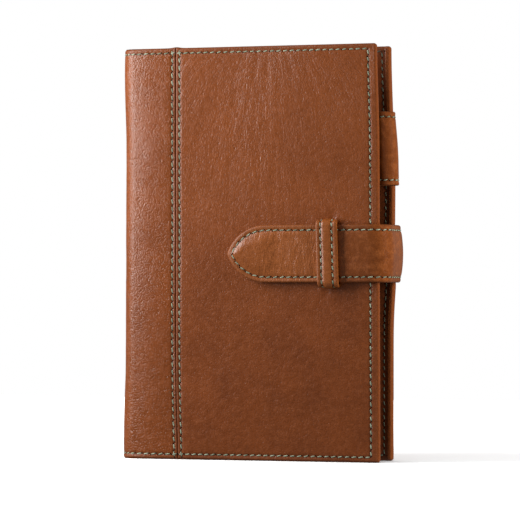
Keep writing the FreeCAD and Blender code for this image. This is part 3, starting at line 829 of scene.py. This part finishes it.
def make_sleeve(side, path, body):
    """Inner flap, sewn down on three sides and standing a little open towards the spine."""
    name = NAMES[side]
    last = U_EDGE - FORE_TURN_IN + 0.6 * MM
    first = U_EDGE - LAYER_INSET - (high(f"{name}_sleeve")[0] - low(f"{name}_sleeve")[0])
    below = -(HEM + LINING)
    row = Row([(first, BOTTOM_ROW), (FORE_ROW, BOTTOM_ROW), (FORE_ROW, TOP_ROW), (first, TOP_ROW)])
    sheet = 0.55 * MM
    full = SLEEVE - sheet

    def lifted(u, v):
        """The flap's height off the lining: none at the sewn rows, all of it in the middle."""
        sides = np.minimum(v - BOTTOM_ROW, TOP_ROW - v)
        return full * smooth(np.minimum(sides, FORE_ROW - u) / (6 * MM))

    def flap(u, v, h):
        return path(u, v, below - lifted(u, v) - h)

    us = lines(first, last, 2 * STEP, (sheet / 2, sheet / 2), (FORE_ROW,))
    vs = lines(TURN_IN, HEIGHT - TURN_IN, 2 * STEP, (sheet / 2, sheet / 2), (BOTTOM_ROW, TOP_ROW))
    piece = slab(f"{name}_shaded_sleeve_leather", flap, us, vs, sheet, sheet, (sheet / 2,) * 4, corner=2.2 * MM,
                 relief=lambda u, v: groove([row], u, v, 0.1 * MM) + 0.04 * MM * noise(u, v, 9 * MM, 41),
                 rows=[row], layer=9)
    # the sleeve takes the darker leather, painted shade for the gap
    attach(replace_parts(dress(piece, SHADED_SLEEVE_LEATHER), f"{name}_sleeve"), body)
    # the inner stitches take the darker thread, painted shade
    piece = stitches(f"{name}_inner_stitches", flap, [row], lambda u, v: sheet - 0.1 * MM + 0 * u,
                     SHADED_INNER_THREAD, lean=side, size=0.85)
    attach(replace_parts(piece, f"{name}_inner_stitching"), body)


# ---- strap ----

STRAP_ROW = STRAP_WIDTH / 2 - (low("tongue_stitching")[2] + CAD_THREAD - low("tongue_skin")[2])
POINT = 19.0 * MM  # length of the tongue's point, before its tip is rounded
HALF_STRAP = STRAP_WIDTH / 2
POINT_RADIUS = (POINT ** 2 + HALF_STRAP ** 2) / STRAP_WIDTH
TIP_RADIUS = 3.0 * MM
TO_TIP = math.sqrt((POINT_RADIUS - TIP_RADIUS) ** 2 - (POINT_RADIUS - HALF_STRAP) ** 2)
POINT_START = -TO_TIP - TIP_RADIUS  # from the tip's end
STRAP_RIM = 0.95 * MM


def half_width(u):
    """Half of the strap's width: full up to the tongue's point, then two arcs that meet in a round tip."""
    past = np.clip(u - U_TIP - POINT_START, 0, None)
    arc = np.sqrt(np.maximum(POINT_RADIUS ** 2 - past ** 2, 0)) - (POINT_RADIUS - HALF_STRAP)
    tip = np.sqrt(np.maximum(TIP_RADIUS ** 2 - (past - TO_TIP) ** 2, 0))
    return np.where(past > TO_TIP * POINT_RADIUS / (POINT_RADIUS - TIP_RADIUS), tip, arc)


def tongue_outline(u, v):
    """Width share of a grid line, and each place's distance from the outline."""
    share = np.maximum(half_width(u), 0) / HALF_STRAP
    past = np.clip(u - U_TIP - POINT_START, 0, None)
    placed = np.abs(v) * share
    from_arc = POINT_RADIUS - np.hypot(past, placed + POINT_RADIUS - HALF_STRAP)
    from_tip = TIP_RADIUS - np.hypot(past - TO_TIP, placed)
    ahead = placed * TO_TIP < (past - TO_TIP) * (POINT_RADIUS - HALF_STRAP)
    return share, np.maximum(np.where(ahead, from_tip, from_arc), 0)


def strap_rows():
    """One row that runs up one edge, round the tongue's point and back down the other."""
    inset = HALF_STRAP - STRAP_ROW
    radius = POINT_RADIUS - inset
    sweep = math.acos((POINT_RADIUS - HALF_STRAP) / radius)
    count = 12
    start_u = U_TIP + POINT_START
    arc = [(start_u + radius * math.sin(sweep * k / count),
            radius * math.cos(sweep * k / count) - (POINT_RADIUS - HALF_STRAP)) for k in range(count + 1)]
    start = 2.5 * MM
    straight = [Row([(start, sign * STRAP_ROW), (start_u, sign * STRAP_ROW)]) for sign in (-1, 1)]
    return straight + [Row([(start, -STRAP_ROW), (start, STRAP_ROW)])], arc


def arc_rows(arc):
    """The tongue's curved row as short runs, one stitch each."""
    runs = []
    for sign in (-1, 1):
        bent = [np.array((u, sign * v)) for u, v in arc]
        lengths = np.cumsum([0] + [np.linalg.norm(b - a) for a, b in zip(bent, bent[1:])])
        count = round(lengths[-1] / PITCH)
        spaced = np.linspace(0, lengths[-1], count + 1)
        marks = np.stack([np.interp(spaced, lengths, [p[i] for p in bent]) for i in (0, 1)], axis=-1)
        runs += [Row([a, b]) for a, b in zip(marks, marks[1:])]
    return runs


def cross_creases(u, v):
    """Creases across the strap where it bends into the keeper, and a few more elsewhere."""
    before = smooth((u - KEEPER_U + 8 * MM) / (16 * MM))
    before = before * (0.55 + 0.45 * smooth((U_TIP - 9 * MM - u) / (9 * MM)))
    behind = 0.2 * hump(u - KEEPER_U + 16 * MM, 9 * MM)
    return u + 0.12 * v, v * 1.4, 0.1 + 0.9 * before + behind


def strap_relief(rows):
    """Heights of the strap's outer face: a crown between its rows, the padded tongue and the creases."""

    def relief(u, v):
        across, along, worn = cross_creases(u, v)
        h = 0.12 * MM * noise(u, v, 16 * MM, 51) + 0.05 * MM * noise(u, v, 5 * MM, 52)
        h = h + 0.22 * MM * (1 - np.clip(np.abs(v) / STRAP_ROW, 0, 1) ** 4)
        inside = half_width(u) - np.abs(v) - (HALF_STRAP - STRAP_ROW)
        h = h + 1.0 * MM * smooth(inside / (6 * MM)) * smooth((u - U_TIP + 26 * MM) / (10 * MM))
        h = h - 0.15 * MM * (1 - np.abs(noise(across, along * 0.25, 2.8 * MM, 53))) ** 3 * worn
        h = h - 0.3 * MM * hump(u - KEEPER_U, 8 * MM)
        return h + groove(rows, u, v, 0.26 * MM)

    return relief


def bend_ends(*ends):
    """Places where the strap starts to turn and where it has turned."""
    return [tuple(strap_path(np.array(u), np.array(0.0), STRAP_THICK / 2)) for u in ends]


def make_strap():
    straight, arc = strap_rows()
    rows = straight + arc_rows(arc)
    relief = strap_relief(rows)
    gap = 0.25 * MM

    def height(u, v):
        return STRAP_THICK + relief(u, v)

    stretches = [
        ("base", 0, U_WEB - gap, ("back_cover",), ("base_skin", "base_lining", "base_stitching")),
        ("web", U_WEB - gap, U_BOW, ("back_cover", "strap_heel"), ("web_skin", "web_lining")),
        ("back_bend", U_BOW, U_BOW_MIDDLE, ("strap_heel", "strap_bow"),
         ("back_bend_skin", "back_bend_lining")),
        ("front_bend", U_BOW_MIDDLE, U_FRONT, ("strap_bow", "strap_front"),
         ("front_bend_skin", "front_bend_lining", "bow_skin", "bow_lining")),
        ("strap", U_FRONT, U_TONGUE, ("strap_front", "strap_tongue"),
         ("strap_skin", "strap_lining", "strap_stitching")),
        ("tongue", U_TONGUE, U_TIP, ("strap_tongue",),
         ("tongue_skin", "tongue_core", "tongue_lining", "tongue_stitching")),
    ]
    ends = {"web": (U_WEB, U_BOW), "back_bend": (U_BOW, U_BOW + BACK_BEND),
            "front_bend": (U_FRONT - FRONT_BEND, U_FRONT), "strap": (U_FRONT, U_TONGUE)}
    for name, first, last, bodies, nodes in stretches:
        step = 0.5 * MM if "bend" in name else STEP * 0.8
        us = lines(first, last, step, (STRAP_RIM if name == "base" else 0, 0))
        if name == "tongue":
            tail = U_TIP - 3 * MM * (1 - np.sin(np.linspace(0, math.pi / 2, 14)))
            us = np.array(sorted(set(us[us < U_TIP - 3 * MM]) | set(tail)))
        vs = lines(-HALF_STRAP, HALF_STRAP, STEP * 0.8, (STRAP_RIM, STRAP_RIM), (-STRAP_ROW, STRAP_ROW))
        piece = slab(f"{name}_leather", strap_path, us, vs, STRAP_THICK, STRAP_THICK,
                     (STRAP_RIM if name == "base" else 0, 0, STRAP_RIM, STRAP_RIM), relief=relief, rows=rows,
                     outline=tongue_outline if name == "tongue" else None, layer=13, creases=cross_creases)
        dress(piece, STRAP)
        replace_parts(piece, *nodes)
        thread = stitches(f"{name}_stitches", strap_path, rows, height, THREAD, lean=-1,
                          keep=lambda u, v, a=first, b=last: a <= u < b)
        for part in (piece, thread):
            if len(bodies) == 1:
                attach(part, bodies[0])
            else:
                start, end = bend_ends(*ends[name])
                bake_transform(part)


# ---- keeper ----


def make_keeper():
    """A band over the strap whose two legs go down into the front."""
    low_z, high_z = KEEPER_LOW[2], KEEPER_HIGH[2]
    wall, rim = 2.0 * MM, 0.9 * MM
    turn = wall + 0.9 * MM
    foot_y, top_y = high("keeper_skin")[1], low("keeper_skin")[1]
    leg = foot_y - top_y - turn
    quarter = turn * math.pi / 2
    over = high_z - low_z - 2 * turn
    length = 2 * leg + 2 * quarter + over
    half = (KEEPER_HIGH[0] - KEEPER_LOW[0]) / 2

    def place(u, v, h):
        """u runs up one leg, over the strap and down the other; v is across the band."""
        s = np.asarray(u)
        rise = np.clip(s, 0, leg) - np.clip(s - (length - leg), 0, leg)
        a = np.clip((s - leg) / quarter, 0, 1) * math.pi / 2
        b = np.clip((s - leg - quarter - over) / quarter, 0, 1) * math.pi / 2
        along = np.clip(s - leg - quarter, 0, over)
        z = low_z + turn - (turn + h) * np.cos(a) + along + (turn + h) * np.sin(b)
        y = foot_y - rise - (turn + h) * np.sin(a) * np.cos(b)
        pinch = 1 - 0.16 * hump(np.minimum(s, length - s), 4 * MM)
        lean = 0.6 * MM * (1 - 2 * s / length)
        return points(KEEPER_X + v * pinch + lean, y, z)

    row_v = half - STITCH_INSET
    rows = [Row([(leg * 0.7, sign * row_v), (length - leg * 0.7, sign * row_v)]) for sign in (-1, 1)]

    def relief(u, v):
        pillow = 0.4 * MM * (1 - np.clip(np.abs(v) / row_v, 0, 1) ** 2.4)
        return pillow + 0.05 * MM * noise(u, v, 5 * MM, 61) + groove(rows, u, v, 0.26 * MM)

    us = lines(0, length, 0.5 * MM)
    vs = lines(-half, half, 0.6 * MM, (rim, rim), (-row_v, row_v))
    piece = slab("keeper_leather", place, us, vs, 0, wall, (0, 0, rim, rim), relief=relief, rows=rows,
                 layer=17, creases=lambda u, v: (u, v, 0.8 + 0 * u))
    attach(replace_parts(dress(piece, STRAP), "keeper_skin", "keeper_lining"), "front_cover")
    thread = stitches("keeper_stitches", place, rows, relief, THREAD, lean=-1)
    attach(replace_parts(thread, "keeper_stitching"), "front_cover")


# ---- pen loop ----


def make_pen_loop():
    """A tube of doubled leather with a slight lean, and the neck and tab that hold it."""
    lo, hi = low("pen_loop_skin"), high("pen_loop_skin")
    centre_x, centre_y = (lo[0] + hi[0]) / 2, (lo[1] + hi[1]) / 2
    radius = (hi[0] - lo[0]) / 2
    wall = radius - (high("pen_loop_lining")[0] - low("pen_loop_lining")[0]) / 2 + 0.5 * MM
    tall = hi[2] - lo[2]
    lean = 1.9 * MM

    def place(u, v, h):
        angle = np.asarray(u) / radius
        swell = 0.35 * MM * np.cos(math.pi * (v / tall - 0.5)) ** 2
        shift = lean * (0.5 - v / tall)
        r = radius + h + swell - 0.3 * MM
        return points(centre_x + shift + r * np.cos(angle), centre_y + r * np.sin(angle), lo[2] + v)

    around = 2 * math.pi * radius
    rows = [Row([(0, v), (around, v)]) for v in (STITCH_INSET, tall - STITCH_INSET)]

    def relief(u, v):
        return 0.05 * MM * noise(u, v, 6 * MM, 71) + groove(rows, u, v, 0.22 * MM)

    us = np.linspace(0, around, 73)
    vs = lines(0, tall, STEP * 0.8, (wall / 2, wall / 2), (STITCH_INSET, tall - STITCH_INSET))
    tube = slab("pen_loop_leather", place, us, vs, 0, wall, (0, 0, wall / 2, wall / 2), relief=relief,
                rows=rows, layer=21)
    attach(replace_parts(dress(tube, STRAP), "pen_loop_skin", "pen_loop_lining"), "pen_loop")
    thread = stitches("pen_loop_stitches", place, rows, relief, THREAD)
    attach(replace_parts(thread, "pen_loop_stitching"), "pen_loop")

    tab_lo, tab_hi = low("pen_loop_tab"), high("pen_loop_tab")
    thick = tab_hi[1] - tab_lo[1]
    reach = centre_x + 0.35 * radius - tab_lo[0]
    bend_start = tab_hi[0] - tab_lo[0]

    def tab_place(u, v, h):
        """Flat on the sleeve, then curving forwards onto the tube."""
        t = smooth((u - bend_start) / (reach - bend_start))
        y = tab_lo[1] - t * (tab_lo[1] - centre_y - radius * 0.93)
        return points(tab_lo[0] + u, y + thick - h, tab_lo[2] + v)

    us = lines(0, reach, STEP * 0.8, (thick / 2, 0))
    vs = lines(0, tall, STEP, (thick / 2, thick / 2))
    tab = slab("pen_loop_tab_leather", tab_place, us, vs, thick, thick, (thick / 2, 0, thick / 2, thick / 2),
               relief=lambda u, v: 0.05 * MM * noise(u, v, 6 * MM, 73), layer=25)
    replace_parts(dress(tab, STRAP), "pen_loop_tab")
    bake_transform(tab)


# ---- studio ----

CAMERA_AZIMUTH = math.radians(18.6)
CAMERA_DISTANCE = 1.5
CAMERA_HEIGHT = 0.0803
CAMERA_YAW, CAMERA_PITCH = math.radians(-0.08), math.radians(0.54)
LENS = 219.2
FILL = 0.23  # the studio's dim surroundings, behind a backdrop that the camera sees as white
FLOOR_REACH = 0.8
GLOW, GLOW_REACH = 0.8, (0.13, 0.35)  # the floor glows away from the object, to end without a line


def area_light(name, place, aim, size, power):
    data = bpy.data.lights.new(name, "AREA")
    data.shape = "RECTANGLE"
    data.size, data.size_y = size
    data.energy = power
    lamp = linked(name, data)
    lamp.location = place
    lamp.rotation_euler = (Vector(aim) - Vector(place)).to_track_quat("-Z", "Y").to_euler()
    lamp.visible_camera = False
    return lamp


def make_studio():
    floor = bpy.data.meshes.new("floor")
    corners = ((-1, -1), (1, -1), (1, 1), (-1, 1))
    floor.from_pydata([(x * FLOOR_REACH, y * FLOOR_REACH, 0) for x, y in corners], [], [(0, 1, 2, 3)])
    plain = linked("floor", floor)
    n = Nodes("floor")
    n.shader.inputs["Base Color"].default_value = (0.93, 0.93, 0.93, 1)
    n.shader.inputs["Roughness"].default_value = 0.9
    n.shader.inputs["Specular IOR Level"].default_value = 0.0
    n.shader.inputs["Emission Color"].default_value = (1, 1, 1, 1)
    away = n.add("VectorMath", operation="LENGTH")
    n.link(n.place(), away.inputs[0])
    glow = n.remap(away.outputs["Value"], *GLOW_REACH, 0.0, GLOW)
    n.link(glow, n.shader.inputs["Emission Strength"])
    floor.materials.append(n.material)
    plain.visible_diffuse = plain.visible_glossy = False

    world = bpy.data.worlds.new("studio")
    world.use_nodes = True
    tree = world.node_tree
    white, fill = tree.nodes["Background"], tree.nodes.new("ShaderNodeBackground")
    for background, strength in ((white, 1.0), (fill, FILL)):
        background.inputs["Color"].default_value = (1, 1, 1, 1)
        background.inputs["Strength"].default_value = strength
    seen = tree.nodes.new("ShaderNodeLightPath")
    mix = tree.nodes.new("ShaderNodeMixShader")
    tree.links.new(seen.outputs["Is Camera Ray"], mix.inputs[0])
    tree.links.new(fill.outputs[0], mix.inputs[1])
    tree.links.new(white.outputs[0], mix.inputs[2])
    tree.links.new(mix.outputs[0], tree.nodes["World Output"].inputs["Surface"])
    bpy.context.scene.world = world

    middle = (0, MIDDLE_Y, HEIGHT / 2)
    area_light("key", (-0.33, -0.19, 0.26), aim=(-0.02, MIDDLE_Y, 0.17), size=(0.12, 0.36), power=3.0)
    side = area_light("side", (0.5, -0.03, 0.2), aim=middle, size=(0.2, 0.4), power=2.9)
    overhead = area_light("floor_light", (0, 0.1, 1.6), aim=(0, 0.1, 0), size=(3.5, 3.5), power=57.0)
    back = area_light("back", (-0.3, 0.85, 0.45), aim=middle, size=(0.6, 0.6), power=9.0)
    side.visible_glossy = back.visible_glossy = False
    only_floor = bpy.data.collections.new("only_floor")
    only_floor.objects.link(plain)
    overhead.light_linking.receiver_collection = only_floor
    not_floor = bpy.data.collections.new("not_floor")
    not_floor.objects.link(plain)
    not_floor.collection_objects[0].light_linking.link_state = "EXCLUDE"
    back.light_linking.receiver_collection = side.light_linking.receiver_collection = not_floor


def make_camera():
    data = bpy.data.cameras.new("camera")
    data.sensor_width = 36.0
    data.lens = LENS
    camera = linked("camera", data)
    camera.location = ((SPINE_X + EDGE_X) / 2 + math.sin(CAMERA_AZIMUTH) * CAMERA_DISTANCE,
                       MIDDLE_Y - math.cos(CAMERA_AZIMUTH) * CAMERA_DISTANCE, CAMERA_HEIGHT)
    camera.rotation_euler = (math.pi / 2 + CAMERA_PITCH, 0, CAMERA_AZIMUTH + CAMERA_YAW)
    data.clip_start, data.clip_end = 0.05, 50
    bpy.context.scene.camera = camera


# ---- making ----

make_camera()
make_studio()
for side in (FRONT, BACK):
    make_cover(side)
    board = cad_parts[f"{NAMES[side]}_board"]
    board.data.materials.clear()
    board.data.materials.append(BOARD)
make_strap()
make_keeper()
make_pen_loop()
bpy.context.scene.view_settings.view_transform = "Standard"

bpy.context.view_layer.update()
